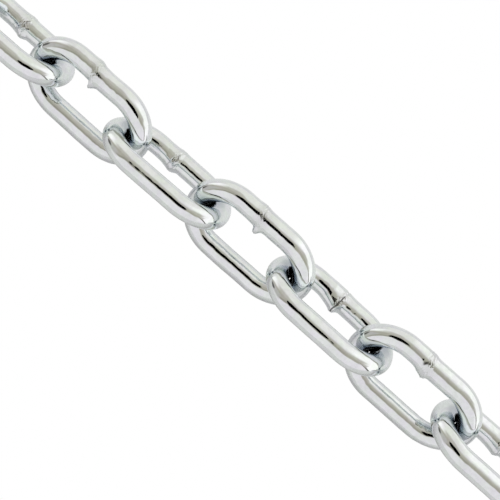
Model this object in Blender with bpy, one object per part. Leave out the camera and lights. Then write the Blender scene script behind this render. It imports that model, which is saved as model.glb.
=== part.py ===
"""A straight length of welded steel chain, pulled taut and lying on a floor.

The links run along +X. Neighbouring links stand square to each other, so each one leans
45 degrees to the floor and rests on one of its two legs. Metres, +Z up. The origin is on
the floor, under the middle of the length and of its width with the welds.
"""

from math import cos, pi, radians, sin

import bpy

LINK_COUNT = 12
WIRE = 0.0055
INSIDE_LENGTH = 0.0254
INSIDE_WIDTH = 0.0097
CONTACT_GAP = 0.0003
LEAN = radians(45)

# A crown is half an ellipse, a little longer along the chain than it is wide
CROWN_STRETCH = 1.17
CROWN_STEPS = 12
BEVEL_RESOLUTION = 6
WIRE_SIDES = 2 * BEVEL_RESOLUTION + 4

# The weld is a swelling halfway along one leg
WELD_PROUD = 0.0004
WELD_LENGTH = 0.0034
WELD_RAMP = 0.0012

ZINC = (0.72, 0.73, 0.74, 1.0)
ZINC_ROUGHNESS = 0.22

WIRE_RADIUS = WIRE / 2
HALF_WIDTH = (INSIDE_WIDTH + WIRE) / 2
HALF_LENGTH = (INSIDE_LENGTH + WIRE) / 2
CROWN_DEPTH = CROWN_STRETCH * HALF_WIDTH
HALF_STRAIGHT = HALF_LENGTH - CROWN_DEPTH
PITCH = INSIDE_LENGTH - CONTACT_GAP
CHAIN_LENGTH = PITCH * (LINK_COUNT - 1) + INSIDE_LENGTH + 2 * WIRE

# A link turns about the end of the link before it, whose wire passes through this point
PIVOT_TO_CENTRE = INSIDE_LENGTH / 2 - CONTACT_GAP - WIRE_RADIUS

# The flats of the wire touch its round section, and one of them lies on the floor
CORNER_RADIUS = WIRE_RADIUS / cos(pi / WIRE_SIDES)
HALF_FLAT = pi / WIRE_SIDES
AXIS_HEIGHT = HALF_WIDTH * sin(LEAN) + WIRE_RADIUS

# A weld stands out sideways, to +Y. It is moved up or down by as much as it is proud, so
# that it ends at the floor, or at the chain's top, like the rest of the wire.
WELD_SWELL = 1 + WELD_PROUD / WIRE_RADIUS
WELD_SHIFT = WELD_PROUD * sin(LEAN)
AXIS_SIDE = -WELD_PROUD / 2


def clear_scene():
    for obj in list(bpy.data.objects):
        bpy.data.objects.remove(obj, do_unlink=True)


def zinc_material():
    material = bpy.data.materials.new("Bright zinc plate")
    material.use_nodes = True
    shader = material.node_tree.nodes["Principled BSDF"]
    shader.inputs["Base Color"].default_value = ZINC
    shader.inputs["Metallic"].default_value = 1.0
    shader.inputs["Roughness"].default_value = ZINC_ROUGHNESS
    material.diffuse_color = ZINC
    return material


def crown_points(end):
    """The half ellipse at one end of a link, from leg to leg, anticlockwise."""
    points = []
    for step in range(CROWN_STEPS + 1):
        angle = pi * step / CROWN_STEPS - pi / 2
        x = end * (HALF_STRAIGHT + CROWN_DEPTH * cos(angle))
        y = end * HALF_WIDTH * sin(angle)
        points.append((x, y, 0.0, 1.0))
    return points


def weld_points(side):
    """The swelling on the +Y leg, passed from the +X end to the -X end."""
    flat = WELD_LENGTH / 2
    foot = flat + WELD_RAMP
    middle = HALF_WIDTH - WELD_SHIFT
    return [
        (foot, HALF_WIDTH, 0.0, 1.0),
        (flat, middle, side * WELD_SHIFT, WELD_SWELL),
        (-flat, middle, side * WELD_SHIFT, WELD_SWELL),
        (-foot, HALF_WIDTH, 0.0, 1.0),
    ]


def link_curve(name, side, material):
    """One link as a closed wire, lying in XY with its pivot at the curve's origin."""
    outline = crown_points(1) + weld_points(side) + crown_points(-1)
    curve = bpy.data.curves.new(name, "CURVE")
    curve.dimensions = "3D"
    curve.twist_mode = "Z_UP"
    curve.bevel_depth = CORNER_RADIUS
    curve.bevel_resolution = BEVEL_RESOLUTION
    spline = curve.splines.new("POLY")
    spline.points.add(len(outline) - 1)
    for point, (x, y, z, swell) in zip(spline.points, outline):
        point.co = (x + PIVOT_TO_CENTRE, y, z, 1.0)
        point.radius = swell
        point.tilt = HALF_FLAT
    spline.use_cyclic_u = True
    spline.use_smooth = True
    curve.materials.append(material)
    return curve


def build_chain():
    chain = bpy.data.collections.new("Steel chain")
    bpy.context.scene.collection.children.link(chain)
    zinc = zinc_material()
    high_weld = link_curve("Link with its weld on the high leg", -1, zinc)
    low_weld = link_curve("Link with its weld on the low leg", 1, zinc)

    first_centre = -CHAIN_LENGTH / 2 + HALF_LENGTH + WIRE_RADIUS
    before = None
    for number in range(1, LINK_COUNT + 1):
        even = number % 2 == 0
        link = bpy.data.objects.new(f"link_{number:02d}", high_weld if even else low_weld)
        chain.objects.link(link)
        lean = LEAN if even else -LEAN
        if before is None:
            link.location = (first_centre - PIVOT_TO_CENTRE, AXIS_SIDE, AXIS_HEIGHT)
            link.rotation_euler = (lean, 0, 0)
        else:
            # Each link hangs on the one before it, a pitch further on and turned square
            link.parent = before
            link.location = (PITCH, 0, 0)
            link.rotation_euler = (2 * lean, 0, 0)
        before = link


clear_scene()
build_chain()
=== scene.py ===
"""The looks of a straight length of bright zinc-plated chain, seen almost from above."""

from math import copysign, cos, pi, radians, sin, sqrt

import bpy
import numpy as np
from mathutils import Matrix, Vector


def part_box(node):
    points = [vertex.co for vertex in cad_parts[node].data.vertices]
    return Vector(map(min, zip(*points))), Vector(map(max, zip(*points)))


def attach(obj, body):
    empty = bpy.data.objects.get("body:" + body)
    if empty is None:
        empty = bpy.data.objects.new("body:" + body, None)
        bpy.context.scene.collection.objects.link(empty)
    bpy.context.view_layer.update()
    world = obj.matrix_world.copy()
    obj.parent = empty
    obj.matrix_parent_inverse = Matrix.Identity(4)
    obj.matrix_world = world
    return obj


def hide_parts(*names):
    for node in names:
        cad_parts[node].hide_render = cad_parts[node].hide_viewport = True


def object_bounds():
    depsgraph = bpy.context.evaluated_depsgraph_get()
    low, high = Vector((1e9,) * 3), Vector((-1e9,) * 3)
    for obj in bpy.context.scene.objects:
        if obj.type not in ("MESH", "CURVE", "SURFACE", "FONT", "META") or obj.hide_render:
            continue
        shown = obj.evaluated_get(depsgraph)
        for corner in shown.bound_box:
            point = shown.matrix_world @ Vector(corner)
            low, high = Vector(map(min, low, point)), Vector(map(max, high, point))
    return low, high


# A millimetre, in metres
MM = 0.001

# The link, as in the frame: a closed wire with half-elliptic crowns and straight legs
WIRE_RADIUS = 0.00275
INSIDE_LENGTH = 0.0254
INSIDE_WIDTH = 0.0097
CROWN_STRETCH = 1.17
LEAN = radians(45)
HALF_WIDTH = INSIDE_WIDTH / 2 + WIRE_RADIUS
HALF_LENGTH = INSIDE_LENGTH / 2 + WIRE_RADIUS
CROWN_DEPTH = CROWN_STRETCH * HALF_WIDTH
HALF_STRAIGHT = HALF_LENGTH - CROWN_DEPTH

# Fineness of the swept wire: points round it, and rings along its crowns and its legs. The
# rings stand close together near the weld, and from COARSE_START on they don't.
SIDES = 96
CROWN_RINGS = 64
PLAIN_RINGS = 26
WELD_REACH = 0.0045
WELD_STEP = 0.00009
COARSE_START = 0.0048
COARSE_RINGS = 5

# The plate's own colour, and the colours of its thin film, which vary from place to place
PLATE = (0.793, 0.835, 0.843)
GREEN_FILM = (0.788, 0.848, 0.827)
VIOLET_FILM = (0.798, 0.821, 0.859)

# The plate is duller on the weld and grimy in its seam. Painted shade darkens it near the next
# link, and painted black shade fills the crook where the two bear on each other
WELD_DULL = (0.56, 0.58, 0.58)
GRIME = (0.03, 0.027, 0.021)
SHADED = (0.50, 0.53, 0.60)
CROOK_SHADE = (0.0015, 0.0015, 0.0020)

# How strong the first three of these are at most, and between which shades the plate is
# mottled
DULL_SHARE = 0.3
GRIME_SHARE = 0.95
SHADED_SHARE = 0.7
MOTTLING = (0.94, 1.05)

# Where the painted black shade of the crook and the painted shade round it fade out, as the gap
# to the next link, which is 1 where the black shade ends, and how ragged its edge is
CROOK_SHADE_EDGE = (0.85, 1.08)
SHADED_EDGE = (1.0, 3.4)
RAGGEDNESS = 0.6

# Roughness of the wire, and what the weld and the painted black crook shade add to it
WIRE_ROUGHNESS = 0.035
WELD_ROUGHNESS = 0.12
CROOK_SHADE_ROUGHNESS = 0.6

# Scales of the plate's patterns, in cells a metre
CLOUD_SCALE = 260.0
FILM_SCALE = 420.0
MOTTLE_SCALE = 1400.0
GRAIN_SCALE = 2600.0

# Drawing lines run along the wire, so their pattern is long that way and fine round it
LINES_ALONG = 60.0
LINES_ROUND = 2.6
LINES_SCALE = 9.0

# How much of the bump the lines and the grain make, and the grain on the weld
BUMP_STRENGTH = 0.25
BUMP_DISTANCE = 0.00003
LINES_BUMP = 0.35
GRAIN_BUMP = 0.1
WELD_BUMP = 3.0

# The photograph's camera. The chain slants down to the right in the picture, and the
# picture's middle lies next to the middle of link_06.
LENS_MM = 62.17
SENSOR_MM = 36
CHAIN_SLANT = radians(41.63)
CHAIN_RISE = radians(-2.71)
LOOK_LEAN = radians(78.55)
CAMERA_TO_LINK = Vector((-0.00039, -0.00159, 0.2007))
MIDDLE_LINK = "link_06"

# The kinds of weld. Lengths are in mm, and places along the leg are counted from the weld.
#   flash: places along the leg, and the flash's height over the wire there
#   width: how wide the flash is round the wire, in radians
#   ring: the share of its height that goes all round the wire
#   outer: the swelling towards +Y, as its height, its place, and its reach before and after
#   slant: how much earlier along the leg the seam comes on that side
#   seam, rough: the depth of the seam, and the height of the beads beside it
#   inked: where across the leg the seam is dark, from -1 at -Y to 1 at +Y
#   grime: how dark it is there
#   bend: places along the leg, and how far it is bent down there, if it is
#   notch: where a short dark notch lies, along the leg and across it, if there is one
WELD_KINDS = {
    "barb": dict(
        flash=(
            (-2.6, 0), (-0.75, 0.12), (-0.3, 0.5), (-0.1, 1.3), (0.1, 1.36), (0.6, 0.95),
            (1.3, 0.3), (2, 0),
        ),
        width=0.5, ring=0.05, outer=(0.12, -1.4, 0.8, 0.8),
        slant=0.3, seam=0.02, rough=0.03, inked=(-0.7, -0.2), grime=0.3,
        bend=((-0.2, 0), (0.3, 0.02), (2.6, 0.27), (3.3, 0.27), (7.8, 0)),
    ),
    "knob": dict(
        flash=(
            (-2.4, 0), (-0.95, 0.1), (-0.6, 0.62), (-0.35, 1.2), (0, 1.36), (0.45, 1.3),
            (0.85, 0.95), (1.15, 0.45), (1.6, 0.1), (2.4, 0),
        ),
        width=0.42, ring=0.04, outer=(0.15, -2.0, 0.9, 1.2),
        slant=1.35, seam=0.05, rough=0.04, inked=(-0.5, 0.3), grime=0.4,
    ),
    "step": dict(
        flash=(
            (-4.4, 0), (-2.9, 0.13), (-1.5, 0.42), (-0.5, 0.75), (0, 0.82), (0.7, 0.46),
            (1.25, 0),
        ),
        width=0.9, ring=0.16, outer=(0.06, -0.5, 1.2, 1.2),
        slant=0.5, seam=0.06, rough=0.05, inked=(-0.2, 0.3), grime=0.7,
    ),
    "bell": dict(
        flash=(
            (-5.0, 0), (-3.9, 0.2), (-2.6, 0.6), (-1.6, 0.85), (-0.6, 1.2), (0, 1.4),
            (0.7, 1.15), (1.25, 0.45), (1.8, 0),
        ),
        width=0.8, ring=0.03, outer=(0.16, 0.4, 0.9, 2.2),
        slant=-0.7, seam=0.12, rough=0.06, inked=(-1.1, 0.35), grime=1.3,
        bend=((-6, 0), (-2.5, -0.3), (-0.4, 0), (0.5, 0), (4, -0.05), (6, 0)),
    ),
    "lump": dict(
        flash=(
            (-2.4, 0), (-1.65, 0.32), (-0.8, 0.74), (0, 0.96), (0.65, 0.4), (0.9, 0.1),
            (1.4, 0),
        ),
        width=0.6, ring=0.08, outer=(0.15, -2.2, 0.8, 1.0),
        slant=1.6, seam=0.09, rough=0.06, inked=(-0.35, 0.0), grime=0.3,
        notch=(-1.76, -0.32),
    ),
}

# Turns round the wire: how far the flash leans from straight inwards to the side at -Y, and
# where the outer swelling lies, from straight outwards to the side at +Y, and its width. The
# power is for the shape of its ends along the leg.
FLASH_TURN = radians(28)
OUTER_TURN = radians(45)
OUTER_WIDTH = 1.1
OUTER_POWER = 2.2

# Lengths along the leg, in mm: where the seam lies and its width, the length in which the
# beads' waves are counted, how far the beads and the weld's dull colour reach, and the half
# length and half width of a notch
SEAM_AT = 0.1
SEAM_WIDTH = 0.15
BEADS_LENGTH = 3.0
BEADS_REACH = 0.9
DULL_REACH = 1.6
NOTCH_HALVES = (0.6, 0.36)

# How softly the dark part of a seam ends across the leg
INK_EDGE = 0.1

# Weights that round the corners of a flash and of a bend. Each weight lies a step further,
# and the steps and the reach of both are in mm, as is the length at each end of the leg over
# which a bend fades.
FLASH_WEIGHTS = np.exp(-((np.arange(-8, 9) / 3.5) ** 2))
FLASH_STEP = 0.05
FLASH_REACH = 6
BEND_WEIGHTS = np.hanning(9)
BEND_STEP = 0.1
BEND_REACH = 20
BEND_FADE = 1.5

# Each link's weld, and how far it lies from the middle of the leg, in mm. The links' random
# draws start from seeds that follow on from the first.
WELDS = (
    ("bell", 0.3), ("lump", -0.4), ("step", 0.2), ("barb", -1.3), ("step", -0.9), ("knob", -0.6),
    ("bell", -0.4), ("lump", -0.8), ("step", 0.4), ("barb", -0.3), ("bell", 0.5), ("knob", 0.1),
)
FIRST_SEED = 101

# No link is bent quite true: how far each leg lies towards +Y of its place, in mm. First
# the weld leg, before and after its weld, where its two ends don't meet exactly, and then
# the other leg, at its start and its end. The weld leg changes from one to the other from
# SHIFT_START to SHIFT_END, counted from the weld.
LEG_SHIFTS = (
    (0.1, 0.0, 0.1, 0.0),
    (-0.1, -0.25, 0.1, 0.15),
    (-0.45, -0.45, 0.15, 0.25),
    (0.02, -0.36, 0.17, 0.1),
    (-0.68, -0.5, 0.04, 0.2),
    (0.2, 0.1, 0.12, 0.22),
    (0.43, 0.13, 0.0, 0.0),
    (0.5, 0.15, 0.0, 0.0),
    (0.0, 0.1, 0.0, 0.0),
    (-0.2, 0.1, 0.15, 0.1),
    (0.15, -0.1, 0.1, 0.2),
    (-0.3, -0.15, 0.1, 0.0),
)
SHIFT_START = -1.2
SHIFT_END = 0.8

# Where two links bear on each other the plate is painted black as shade in the crook, as far
# out as where the gap between them has opened to this. One value for each pair of links.
# Gaps are measured in these reaches, and none is counted as more than WIDEST_GAP.
CROOK_SHADE_REACHES = (
    0.00070, 0.00080, 0.00052, 0.00060, 0.00068, 0.00078, 0.00086, 0.00075, 0.00060, 0.00080,
    0.00070,
)
WIDEST_GAP = 6.0

# The light tent round the chain, in the sRGB colours that its parts show on the wire: the
# broad screens and the lamp, the gap overhead, and the parts at the two ends
PALE_SCREEN = (219, 220, 222)
WARM_SCREEN = (221, 224, 218)
LOW_WARM = (214, 216, 215)
LAMP = (248, 251, 249)
GAP_LIGHT = (182, 182, 173)
GAP_DARK = (167, 166, 155)
GAP_EDGE = (147, 147, 136)
END_PALE = (230, 230, 232)
END_WALL = (206, 208, 207)
FAR_DOOR = (176, 177, 173)
SLIT = (95, 95, 92)
FIGURE = (92, 93, 89)

# Where the dark figure stands, seen from the chain, and how wide it is at its core and rim
FIGURE_TOWARDS = Vector((-0.95, -0.253, 0.183))
FIGURE_CORE = radians(4)
FIGURE_RIM = radians(11)

# Lines on the wall at the +X end: how far they slant to +Y as they rise, and how far to -Y
# they are at the height of the chain
SLIT_LINE = (0.303, 0.378)
LAMP_LINE = (0.62, 0.40)

# The black camera over the chain, as a card that only reflections see. Its rim is between
# an ellipse, which has squareness 1, and a rectangle, which has 0.
CARD_MIDDLE = Vector((-0.0222, -0.041, 0.204))
CARD_HALF = (0.0605, 0.046)
CARD_CORNERS = 48
CARD_SQUARENESS = 0.7

# The floor's painted glow on the chain's -Y side and on its +Y side, which is brighter as if the
# lamp lit it, and how much darker painted shadow and shade make it in a strip on each of them
FLOOR_SIZE = 6
FLOOR_COLOUR = (0.55, 0.55, 0.56, 1)
FLOOR_GLOW = (0.31, 0.43)
NEAR_SHADOW_DARKNESS = 0.13
FAR_SHADE_DARKNESS = 0.06

BLACK = (0, 0, 0, 1)
WHITE = (1, 1, 1, 1)


def smooth_step(value, low, high):
    share = np.clip((value - low) / (high - low), 0, 1)
    return share * share * (3 - 2 * share)


def hump(x, width, power=2):
    """1 in the middle, falling off on both sides."""
    return np.exp(-((np.abs(x) / width) ** power))


def rounded(x, corners, reach, step, weights):
    """Values at x of a line through the corners given, with the corners rounded off."""
    places, values = np.array(corners).T
    fine = np.arange(-reach, reach, step)
    profile = np.convolve(np.interp(fine, places, values), weights / weights.sum(), mode="same")
    return np.interp(x, fine, profile)


def ripples(share, turned, random, count, waves, turns, sizes):
    """Sum of waves along and round the wire, with random phases.

    waves and turns are how many of them go along the wire and round it, from the first
    number to just below the second, and sizes is the range of their heights.
    """
    height = np.zeros_like(turned)
    for _ in range(count):
        along = random.integers(*waves)
        around = random.integers(*turns)
        phase = random.uniform(0, 2 * pi, 2)
        size = random.uniform(*sizes)
        lengthwise = np.sin(2 * pi * share * along + phase[0])
        height = height + size * lengthwise * np.cos(around * turned + phase[1])
    return height


def lean_of(node):
    """Even links lean to +Y and odd ones to -Y."""
    return LEAN if int(node[-2:]) % 2 == 0 else -LEAN


def link_centre(node):
    """The middle of a link, from the lowest corner of its box, where one leg lies."""
    low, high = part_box(node)
    to_axis = HALF_WIDTH * sin(LEAN) + WIRE_RADIUS
    return np.array(((low.x + high.x) / 2, low.y + to_axis, to_axis))


def in_chain(points, node):
    """Points of a link that lies flat at the origin, moved to where the link really lies."""
    return points @ np.array(Matrix.Rotation(lean_of(node), 3, "X")).T + link_centre(node)


def crown_stations(end):
    """Points (x, y) of one crown's half ellipse, going clockwise seen from above."""
    for ring in range(CROWN_RINGS):
        angle = pi / 2 - pi * (ring + 0.5) / CROWN_RINGS
        yield end * (HALF_STRAIGHT + CROWN_DEPTH * cos(angle)), end * HALF_WIDTH * sin(angle)


def wire_stations():
    """The wire's centre line, from the weld on the +Y leg clockwise round the link."""
    half_leg = list(np.arange(WELD_STEP / 2, WELD_REACH, WELD_STEP))
    half_leg += list(np.linspace(COARSE_START, HALF_STRAIGHT, COARSE_RINGS))
    points = [(x, HALF_WIDTH) for x in half_leg]
    points += crown_stations(1)
    points += [(x, -HALF_WIDTH) for x in np.linspace(HALF_STRAIGHT, -HALF_STRAIGHT, PLAIN_RINGS)]
    points += crown_stations(-1)
    points += [(-x, HALF_WIDTH) for x in reversed(half_leg)]
    return np.array(points)


def sideways(node, centre):
    """How far the stations of a link's centre line lie towards +Y of their true place."""
    number = int(node[-2:]) - 1
    weld_before, weld_after, plain_before, plain_after = LEG_SHIFTS[number]
    x = centre[:, 0] / MM
    at = WELDS[number][1]
    past_weld = smooth_step(x, at + SHIFT_START, at + SHIFT_END)
    weld_leg = weld_before + (weld_after - weld_before) * past_weld
    reach = HALF_STRAIGHT / MM
    plain_leg = plain_before + (plain_after - plain_before) * smooth_step(x, -reach, reach)
    share = (1 + centre[:, 1] / HALF_WIDTH) / 2
    return (weld_leg * share + plain_leg * (1 - share)) * MM


def bent_down(kind, x, at):
    """How far the weld leg is bent down at x, which fades to nothing at the leg's ends."""
    corners = WELD_KINDS[kind].get("bend", ((0, 0),))
    fade = smooth_step(HALF_STRAIGHT / MM - np.abs(x), 0, BEND_FADE)
    return rounded(x - at, corners, BEND_REACH, BEND_STEP, BEND_WEIGHTS) * fade * MM


def toward_y(lean):
    """The sense in which +Y lies round the wire of a link's weld leg."""
    return 1 if lean < 0 else -1


def outwards(turned, lean):
    """Place across the weld leg, from -1 at its side to -Y to 1 at its side to +Y."""
    return np.cos(turned - toward_y(lean) * OUTER_TURN)


def from_aim(turned, aim):
    """The turn from the aim, as the shorter way round the wire."""
    return np.angle(np.exp(1j * (turned - aim)))


def seam_places(kind, from_weld, turned, lean, random):
    """Distance along the leg from the seam, which slants and wanders round the wire."""
    flat = np.zeros_like(from_weld)
    wander = ripples(flat, turned, random, 5, waves=(0, 1), turns=(3, 12), sizes=(0.04, 0.09))
    return from_weld + WELD_KINDS[kind]["slant"] * (1 + outwards(turned, lean)) / 2 + wander


def weld_relief(kind, from_seam, from_weld, turned, lean, random):
    """Height of the weld over the round wire. turned is 0 outwards and pi inwards."""
    weld = WELD_KINDS[kind]
    side = toward_y(lean)
    flash = rounded(from_seam, weld["flash"], FLASH_REACH, FLASH_STEP, FLASH_WEIGHTS)
    off = from_aim(turned, pi + side * FLASH_TURN)
    flash = flash * (weld["ring"] + (1 - weld["ring"]) * hump(off, weld["width"]))

    size, at, before, after = weld["outer"]
    past = from_weld - at
    outer = size * hump(past, np.where(past < 0, before, after), OUTER_POWER)
    outer = outer * hump(from_aim(turned, side * OUTER_TURN), OUTER_WIDTH)

    seam = weld["seam"] * hump(from_seam - SEAM_AT, SEAM_WIDTH)
    share = from_seam / BEADS_LENGTH
    beads = ripples(share, turned, random, 12, waves=(2, 6), turns=(8, 22), sizes=(0.2, 0.45))
    beads = weld["rough"] * beads * hump(from_seam, BEADS_REACH)
    return (flash + outer - seam + beads) * MM


def waviness(share, turned, random):
    """The unevenness of bent wire: long waves round the closed link, and short shallow ones."""
    height = ripples(
        share, turned, random, 9, waves=(3, 11), turns=(1, 4), sizes=(0.000005, 0.000012)
    )
    height = height + ripples(
        share, turned, random, 24, waves=(10, 44), turns=(2, 9), sizes=(0.0000010, 0.0000034)
    )
    return height - height.max()


def notch(kind, from_weld, across):
    """A short dark stroke slanting over the leg, 1 in its middle, for the kinds that have it."""
    if "notch" not in WELD_KINDS[kind]:
        return np.zeros_like(from_weld)
    at, place = WELD_KINDS[kind]["notch"]
    beside = (across - place) * WIRE_RADIUS / MM
    lengthwise = (from_weld - at + beside) / sqrt(2)
    sidewise = (from_weld - at - beside) / sqrt(2)
    half_length, half_width = NOTCH_HALVES
    return hump(lengthwise, half_length, 4) * hump(sidewise, half_width, 4)


def seam_darkness(kind, from_seam, from_weld, turned, lean):
    """How dark the grime in the seam and in the notch is, from 0 to 1."""
    across = outwards(turned, lean)
    start, end = WELD_KINDS[kind]["inked"]
    inked = smooth_step(across, start - INK_EDGE, start + INK_EDGE)
    inked = inked * smooth_step(-across, -end - INK_EDGE, INK_EDGE - end)
    seam = hump(from_seam - SEAM_AT, SEAM_WIDTH) * WELD_KINDS[kind]["grime"] * inked
    return np.minimum(np.maximum(seam, notch(kind, from_weld, across)), 1.0)


def to_neighbours(number, points):
    """How far the wire's surface is from the links on either side, 1 where the painted black crook
    shade ends.
    """
    gap = np.full(points.shape[:2], WIDEST_GAP)
    for beside in (number - 1, number + 1):
        if not 1 <= beside <= len(WELDS):
            continue
        shade_reach = CROOK_SHADE_REACHES[min(number, beside) - 1]
        node = f"link_{beside:02d}"
        centre = wire_stations()
        line = in_chain(np.column_stack([centre, np.zeros(len(centre))]), node)
        line[:, 1] += sideways(node, centre)
        near = np.abs(line[:, 0] - points[..., 0].mean()) < HALF_LENGTH
        for point in line[near][::2]:
            apart = np.linalg.norm(points - point, axis=2) - WIRE_RADIUS
            gap = np.minimum(gap, apart / shade_reach)
    return gap


def swept_points(centre, radius, turned):
    """Points round the wire at each station, for a link that lies flat at the origin."""
    ahead = np.roll(centre, -1, axis=0) - np.roll(centre, 1, axis=0)
    ahead /= np.linalg.norm(ahead, axis=1)[:, None]
    outward = np.stack([-ahead[:, 1], ahead[:, 0]], axis=1)
    across = radius * np.cos(turned)
    points = np.empty((*turned.shape, 3))
    points[..., :2] = centre[:, None] + across[..., None] * outward[:, None]
    points[..., 2] = radius * np.sin(turned)
    return points


def inside_box(points):
    """The wire's points, moved back where its weld is thick or its leg lies off its place.

    It then ends at the chain's side, at its top or at the floor, like the rest of the wire.
    """
    low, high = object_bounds()
    for axis in (1, 2):
        points[..., axis] -= np.maximum(points[..., axis].max(axis=1) - high[axis], 0)[:, None]
        points[..., axis] += np.maximum(low[axis] - points[..., axis].min(axis=1), 0)[:, None]
    return np.clip(points, np.array(low), np.array(high))


def tube_faces(rings):
    """The faces of a closed tube, whose points go round it ring by ring."""
    faces = []
    for ring in range(rings):
        here = ring * SIDES
        after = (ring + 1) % rings * SIDES
        for side in range(SIDES):
            beside = (side + 1) % SIDES
            faces.append((here + side, here + beside, after + beside, after + side))
    return faces


def add_values(mesh, name, grid):
    attribute = mesh.attributes.new(name, "FLOAT", "POINT")
    attribute.data.foreach_set("value", grid.astype(np.float32).ravel())


def link_mesh(node, kind, at, seed):
    """The swept wire of one link, with its relief, leaning and placed as in the frame."""
    random = np.random.default_rng(seed)
    lean = lean_of(node)
    centre = wire_stations()
    rings = len(centre)
    steps = np.linalg.norm(np.roll(centre, -1, axis=0) - centre, axis=1)
    along = np.concatenate([[0], np.cumsum(steps)[:-1]])

    turned = np.tile(np.linspace(0, 2 * pi, SIDES, endpoint=False), (rings, 1))
    along = np.tile(along[:, None], (1, SIDES))
    x = np.tile(centre[:, :1] / MM, (1, SIDES))
    leg = centre[:, 1] == HALF_WIDTH
    on_weld_leg = np.tile(leg[:, None], (1, SIDES))

    from_weld = x - at
    from_seam = seam_places(kind, from_weld, turned, lean, random)
    relief = np.zeros_like(x)
    relief[leg] = weld_relief(kind, from_seam[leg], from_weld[leg], turned[leg], lean, random)
    radius = WIRE_RADIUS + relief + waviness(along / steps.sum(), turned, random)
    points = in_chain(swept_points(centre, radius, turned), node)
    points[..., 1] += sideways(node, centre)[:, None]
    points[..., 2] -= bent_down(kind, x, at) * on_weld_leg
    points = inside_box(points)

    mesh = bpy.data.meshes.new(f"{node}_wire")
    mesh.from_pydata(points.reshape(-1, 3), [], tube_faces(rings))
    add_values(mesh, "wire_along", along)
    add_values(mesh, "wire_round", turned)
    add_values(mesh, "weld", hump(from_seam, DULL_REACH) * on_weld_leg)
    darkness = seam_darkness(kind, from_seam, from_weld, turned, lean)
    add_values(mesh, "seam", darkness * on_weld_leg)
    add_values(mesh, "to_neighbour", to_neighbours(int(node[-2:]), points))
    mesh.shade_smooth()
    return mesh


class NodeMaker:
    """Short calls for building a node tree: each one adds a node and returns its output."""

    def __init__(self, tree):
        self.tree = tree

    def add(self, kind, **settings):
        """Add a node, and return the node itself."""
        node = self.tree.nodes.new(kind)
        for name, value in settings.items():
            setattr(node, name, value)
        return node

    def feed(self, node, socket, value):
        if isinstance(value, bpy.types.NodeSocket):
            self.tree.links.new(value, node.inputs[socket])
        else:
            node.inputs[socket].default_value = value

    def maths(self, operation, first, second=0.0, third=0.0):
        node = self.add("ShaderNodeMath", operation=operation)
        for socket, value in enumerate((first, second, third)):
            self.feed(node, socket, value)
        return node.outputs[0]

    def plus(self, first, second):
        return self.maths("ADD", first, second)

    def minus(self, first, second):
        return self.maths("SUBTRACT", first, second)

    def times(self, first, second):
        return self.maths("MULTIPLY", first, second)

    def spread(self, value, low, high, to_low=0.0, to_high=1.0, shape="SMOOTHSTEP"):
        """Map the range from low to high onto that from to_low to to_high."""
        node = self.add("ShaderNodeMapRange", interpolation_type=shape)
        for socket, item in enumerate((value, low, high, to_low, to_high)):
            self.feed(node, socket, item)
        return node.outputs[0]

    def between(self, value, low, full, full_end, end):
        """1 from full to full_end, fading to 0 at low and at end."""
        return self.times(self.spread(value, low, full), self.spread(value, full_end, end, 1.0, 0.0))

    def blend(self, factor, first, second, kind="MIX"):
        node = self.add("ShaderNodeMix", data_type="RGBA", blend_type=kind)
        self.feed(node, 0, factor)
        self.feed(node, 6, first)
        self.feed(node, 7, second)
        return node.outputs[2]

    def noise(self, vector, scale, detail=3.0, roughness=0.6):
        node = self.add("ShaderNodeTexNoise")
        self.feed(node, "Vector", vector)
        self.feed(node, "Scale", scale)
        self.feed(node, "Detail", detail)
        self.feed(node, "Roughness", roughness)
        return node.outputs["Fac"]

    def stored(self, name):
        """The values stored on the mesh under a name."""
        return self.add("ShaderNodeAttribute", attribute_name=name).outputs["Fac"]

    def mix_shaders(self, factor, first, second):
        node = self.add("ShaderNodeMixShader")
        self.feed(node, 0, factor)
        self.feed(node, 1, first)
        self.feed(node, 2, second)
        return node.outputs[0]


def plate_colour(make, place, cloud):
    """The clean plate: mottled, and here a little green and there a little violet."""
    mottle = make.noise(place, MOTTLE_SCALE)
    patches = make.plus(make.times(cloud, 0.5), make.times(mottle, 0.5))
    film = make.noise(place, FILM_SCALE)
    shade = make.blend(make.spread(film, 0.35, 0.65), (*GREEN_FILM, 1), (*VIOLET_FILM, 1))
    depth = make.spread(patches, 0.38, 0.62, *MOTTLING, "LINEAR")
    return make.blend(1.0, shade, depth, "MULTIPLY")


def drawing_lines(make):
    along = make.stored("wire_along")
    turned = make.stored("wire_round")
    wire = make.add("ShaderNodeCombineXYZ")
    make.feed(wire, 0, make.times(along, LINES_ALONG))
    make.feed(wire, 1, make.times(make.maths("COSINE", turned), LINES_ROUND))
    make.feed(wire, 2, make.times(make.maths("SINE", turned), LINES_ROUND))
    return make.noise(wire.outputs[0], LINES_SCALE)


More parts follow.
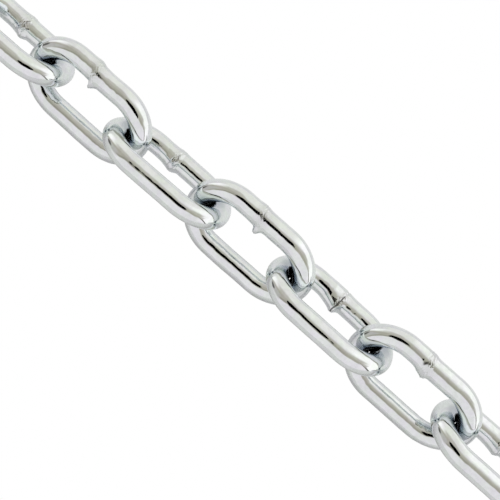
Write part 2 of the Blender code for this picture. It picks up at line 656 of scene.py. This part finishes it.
def zinc_material():
    """Bright zinc plate on drawn wire, rougher and duller on the weld."""
    material = bpy.data.materials.new("Bright zinc plate")
    material.use_nodes = True
    tree = material.node_tree
    make = NodeMaker(tree)
    shader = tree.nodes["Principled BSDF"]
    weld = make.stored("weld")
    seam = make.stored("seam")
    gap = make.stored("to_neighbour")
    place = make.add("ShaderNodeTexCoord").outputs["Object"]
    cloud = make.noise(place, CLOUD_SCALE, 2.0, 0.5)
    grain = make.noise(place, GRAIN_SCALE)
    lines = drawing_lines(make)

    plate = plate_colour(make, place, cloud)
    dull = make.blend(make.times(weld, DULL_SHARE), plate, (*WELD_DULL, 1))
    grimy = make.blend(make.times(seam, GRIME_SHARE), dull, (*GRIME, 1))
    # Painted shade: the plate darkens near the next link, and deep in the crook it is painted black
    # and made matt, not metal
    nearness = make.spread(gap, *SHADED_EDGE, SHADED_SHARE, 0.0)
    shaded = make.blend(nearness, grimy, (*SHADED, 1), "MULTIPLY")
    ragged = make.plus(gap, make.times(make.minus(cloud, 0.5), RAGGEDNESS))
    crook_shade = make.spread(ragged, *CROOK_SHADE_EDGE, 1.0, 0.0)
    make.feed(shader, "Base Color", make.blend(crook_shade, shaded, (*CROOK_SHADE, 1)))
    make.feed(shader, "Metallic", make.minus(1.0, crook_shade))
    shader.inputs["Specular IOR Level"].default_value = 0.0

    rough = make.spread(lines, 0.3, 0.7, WIRE_ROUGHNESS * 0.7, WIRE_ROUGHNESS * 1.4)
    rough = make.plus(rough, make.times(weld, WELD_ROUGHNESS))
    rough = make.plus(rough, make.times(crook_shade, CROOK_SHADE_ROUGHNESS))
    make.feed(shader, "Roughness", rough)

    height = make.plus(make.times(lines, LINES_BUMP), make.times(grain, GRAIN_BUMP))
    height = make.plus(height, make.times(make.times(grain, weld), WELD_BUMP))
    bump = make.add("ShaderNodeBump")
    make.feed(bump, "Strength", BUMP_STRENGTH)
    make.feed(bump, "Distance", BUMP_DISTANCE)
    make.feed(bump, "Height", height)
    make.feed(shader, "Normal", bump.outputs[0])
    return material


def dress_links(material):
    for number, (kind, at) in enumerate(WELDS):
        node = f"link_{number + 1:02d}"
        mesh = link_mesh(node, kind, at, FIRST_SEED + number)
        piece = bpy.data.objects.new(f"{node}_wire", mesh)
        bpy.context.scene.collection.objects.link(piece)
        piece.data.materials.append(material)
        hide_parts(node)
        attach(piece, node)


def light_for(shown):
    """The light that shows on the wire as the sRGB colour given."""
    linear = [((value / 255 + 0.055) / 1.055) ** 2.4 for value in shown]
    return (*(value / plate for value, plate in zip(linear, PLATE)), 1)


class LightTent(NodeMaker):
    """The light all round the chain, made of parts that each lie over the ones before.

    A direction is given by x, which is 1 towards the chain's +X end and -1 towards the
    other, and by turn, the degrees round the chain's axis from straight up towards +Y.
    """

    def __init__(self, tree):
        super().__init__(tree)
        self.direction = self.add("ShaderNodeTexCoord").outputs["Generated"]
        parts = self.add("ShaderNodeSeparateXYZ")
        self.feed(parts, 0, self.direction)
        self.x, y, z = parts.outputs
        self.turn = self.times(self.maths("ARCTAN2", y, z), 180 / pi)
        self.shade = light_for(PALE_SCREEN)

        # Places on the wall at the +X end, as seen from the chain
        ahead = self.maths("MAXIMUM", self.x, 0.3)
        self.beside = self.maths("DIVIDE", y, ahead)
        self.above = self.maths("DIVIDE", z, ahead)
        self.at_end = self.spread(self.x, 0.62, 0.8)
        self.past_slit = self.past_line(*SLIT_LINE)

    def past_line(self, slant, start):
        """How far to the side of a slanting line a place on the +X wall is."""
        line = self.maths("MULTIPLY_ADD", self.above, -slant, start)
        return self.plus(self.beside, line)

    def put(self, shown, *shares):
        """Lay a colour over the others, as far as the product of its shares says."""
        share = shares[0]
        for other in shares[1:]:
            share = self.times(share, other)
        self.shade = self.blend(share, self.shade, light_for(shown))

    def panel(self, shown, x, turns):
        """A part that fades in along the chain and lies between two turns."""
        self.put(shown, self.spread(self.x, *x), self.between(self.turn, *turns))

    def screens(self):
        """Two broad screens, a wall past the -X end, a lamp to +Y and a pale part to +X."""
        self.put(WARM_SCREEN, self.spread(self.turn, 10, 45))
        self.put(LOW_WARM, self.spread(self.turn, 80, 110))
        self.put(END_WALL, self.spread(self.x, -0.55, -0.9))
        self.panel(LAMP, x=(-0.05, 0.38), turns=(22, 46, 90, 102))
        self.panel(END_PALE, x=(0.72, 0.85), turns=(-80, -62, -30, -10))

    def gap(self):
        """The duller gap overhead, which goes on beside the slit at the +X end."""
        # Its start to -Y is at a turn of -31 over the chain, and -60 and -22 at the two ends.
        # Its end to +Y is at 8 over the chain and at 22 further on both ways.
        start = self.spread(self.x, -0.7, -0.3, -60.0, -31.0)
        start = self.plus(start, self.spread(self.x, 0.1, 0.45, 0.0, 9.0))
        off_middle = self.maths("ABSOLUTE", self.minus(self.x, 0.12))
        end = self.spread(off_middle, 0.12, 0.5, 8.0, 22.0)
        inside = self.minus(self.turn, start)
        past = self.minus(self.turn, end)

        overhead = self.times(self.spread(inside, 0, 9), self.minus(1.0, self.at_end))
        fades = self.times(self.at_end, self.spread(self.x, 0.7, 0.84, 1.0, 0.5))
        by_slit = self.times(self.spread(self.past_slit, -0.02, 0.03), fades)
        opens = self.plus(overhead, by_slit)
        self.put(GAP_LIGHT, opens, self.spread(past, 0, 20, 1.0, 0.0))
        self.put(GAP_DARK, opens, self.spread(self.turn, -4, 16, 1.0, 0.0))
        along_edge = self.spread(self.x, 0.05, 0.38, 1.0, 0.25)
        self.put(GAP_EDGE, self.between(inside, 4, 12, 19, 26), along_edge)

    def plus_end(self):
        """The wall at +X: a lamp with one corner missing, and a dark slit that slants down."""
        corner = self.spread(self.above, 0.5, 0.62)
        corner = self.times(corner, self.spread(self.beside, 0.15, 0.35, 1.0, 0.0))
        self.put(
            LAMP,
            self.spread(self.x, 0.68, 0.84),
            self.minus(1.0, corner),
            self.spread(self.past_line(*LAMP_LINE), 0.0, 0.05),
            self.spread(self.turn, 62, 86, 1.0, 0.0),
        )
        self.put(
            SLIT,
            self.at_end,
            self.between(self.past_slit, -0.02, 0.02, 0.07, 0.11),
            self.spread(self.above, 0.45, 0.85, 1.0, 0.2),
        )

    def minus_end(self):
        """Past the -X end: a duller door, a lamp and a dark figure."""
        self.panel(FAR_DOOR, x=(-0.58, -0.75), turns=(-78, -58, -26, -4))
        self.panel(LAMP, x=(-0.58, -0.95), turns=(-8, 26, 48, 66))
        near = self.add("ShaderNodeVectorMath", operation="DOT_PRODUCT")
        self.feed(near, 0, self.direction)
        self.feed(near, 1, FIGURE_TOWARDS.normalized())
        self.put(FIGURE, self.spread(near.outputs["Value"], cos(FIGURE_RIM), cos(FIGURE_CORE)))


def sky():
    """The light tent, in place of which the camera sees plain white."""
    world = bpy.data.worlds.new("Light tent")
    bpy.context.scene.world = world
    world.use_nodes = True
    tree = world.node_tree
    tree.nodes.clear()
    tent = LightTent(tree)
    tent.screens()
    tent.gap()
    tent.plus_end()
    tent.minus_end()

    lit = tent.add("ShaderNodeBackground")
    tent.feed(lit, 0, tent.shade)
    plain = tent.add("ShaderNodeBackground")
    tent.feed(plain, 0, WHITE)
    seen = tent.add("ShaderNodeLightPath").outputs["Is Camera Ray"]
    output = tent.add("ShaderNodeOutputWorld")
    tent.feed(output, 0, tent.mix_shaders(seen, lit.outputs[0], plain.outputs[0]))


def black_card():
    """Stands for the camera over the chain, which shows as a black line on the wire."""
    rim = []
    for step in range(CARD_CORNERS):
        angle = 2 * pi * step / CARD_CORNERS
        along = copysign(abs(cos(angle)) ** CARD_SQUARENESS, cos(angle))
        beside = copysign(abs(sin(angle)) ** CARD_SQUARENESS, sin(angle))
        rim.append(CARD_MIDDLE + Vector((CARD_HALF[0] * along, CARD_HALF[1] * beside, 0)))
    mesh = bpy.data.meshes.new("camera_card")
    mesh.from_pydata(rim, [], [range(CARD_CORNERS)])
    card = bpy.data.objects.new("camera_card", mesh)
    bpy.context.scene.collection.objects.link(card)
    card.visible_camera = False
    card.visible_diffuse = False
    card.visible_shadow = False
    material = bpy.data.materials.new("Black card")
    material.use_nodes = True
    shader = material.node_tree.nodes["Principled BSDF"]
    shader.inputs["Base Color"].default_value = BLACK
    shader.inputs["Roughness"].default_value = 1.0
    shader.inputs["Specular IOR Level"].default_value = 0.0
    mesh.materials.append(material)


def floor():
    """A white floor that only reflections see, and only from above.

    The picture's own ground is the white sky, so links that hang below the floor still show.
    """
    bpy.ops.mesh.primitive_plane_add(size=FLOOR_SIZE)
    plane = bpy.context.object
    plane.name = "floor"
    plane.visible_camera = False
    material = bpy.data.materials.new("White floor")
    material.use_nodes = True
    tree = material.node_tree
    tree.nodes.clear()
    make = NodeMaker(tree)

    place = make.add("ShaderNodeSeparateXYZ")
    make.feed(place, 0, make.add("ShaderNodeTexCoord").outputs["Object"])
    beside = place.outputs["Y"]
    # Painted light and shade on the floor: a glow that is brighter to +Y, a painted shadow beside
    # the chain to -Y, and painted shade further out to +Y
    near_shadow = make.between(beside, -0.022, -0.011, -0.004, 0.003)
    far_shade = make.between(beside, 0.03, 0.05, 0.1, 0.25)
    brightness = make.spread(beside, -0.01, 0.015, *FLOOR_GLOW)
    brightness = make.minus(brightness, make.times(near_shadow, NEAR_SHADOW_DARKNESS))
    brightness = make.minus(brightness, make.times(far_shade, FAR_SHADE_DARKNESS))

    matt = make.add("ShaderNodeBsdfDiffuse")
    make.feed(matt, 0, FLOOR_COLOUR)
    glow = make.add("ShaderNodeEmission")
    make.feed(glow, 1, brightness)
    both = make.add("ShaderNodeAddShader")
    make.feed(both, 0, matt.outputs[0])
    make.feed(both, 1, glow.outputs[0])
    below = make.add("ShaderNodeNewGeometry").outputs["Backfacing"]
    clear = make.add("ShaderNodeBsdfTransparent")
    output = make.add("ShaderNodeOutputMaterial")
    make.feed(output, 0, make.mix_shaders(below, both.outputs[0], clear.outputs[0]))
    plane.data.materials.append(material)


def camera():
    """Stands where the photograph's camera stood, worked out from the chain's direction."""
    data = bpy.data.cameras.new("Camera")
    data.sensor_width = SENSOR_MM
    data.lens = LENS_MM
    eye = bpy.data.objects.new("Camera", data)
    bpy.context.scene.collection.objects.link(eye)
    bpy.context.scene.camera = eye

    # In the camera's own axes (right, down, forward): the chain, the direction square to it
    # towards the picture's upper right, and the one towards the camera
    chain = Vector(
        (cos(CHAIN_SLANT) * cos(CHAIN_RISE), sin(CHAIN_SLANT) * cos(CHAIN_RISE), sin(CHAIN_RISE))
    )
    beside = chain.cross(Vector((0, 0, 1))).normalized()
    towards = chain.cross(beside)
    up = cos(LOOK_LEAN) * beside + sin(LOOK_LEAN) * towards
    across = sin(LOOK_LEAN) * beside - cos(LOOK_LEAN) * towards
    to_world = Matrix((chain, across, up))
    right, down, forward = (to_world.col[i] for i in range(3))
    turned = Matrix((right, -down, -forward)).transposed()
    place = Vector(link_centre(MIDDLE_LINK)) - to_world @ CAMERA_TO_LINK
    eye.matrix_world = Matrix.Translation(place) @ turned.to_4x4()


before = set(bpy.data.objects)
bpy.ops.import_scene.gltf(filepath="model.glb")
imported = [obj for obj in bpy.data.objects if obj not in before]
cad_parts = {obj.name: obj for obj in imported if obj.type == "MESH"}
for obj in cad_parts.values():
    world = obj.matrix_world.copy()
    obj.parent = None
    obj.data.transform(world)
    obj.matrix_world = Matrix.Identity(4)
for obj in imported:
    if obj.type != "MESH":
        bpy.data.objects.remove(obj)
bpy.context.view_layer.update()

dress_links(zinc_material())
sky()
black_card()
floor()
camera()
bpy.context.scene.view_settings.view_transform = "Standard"
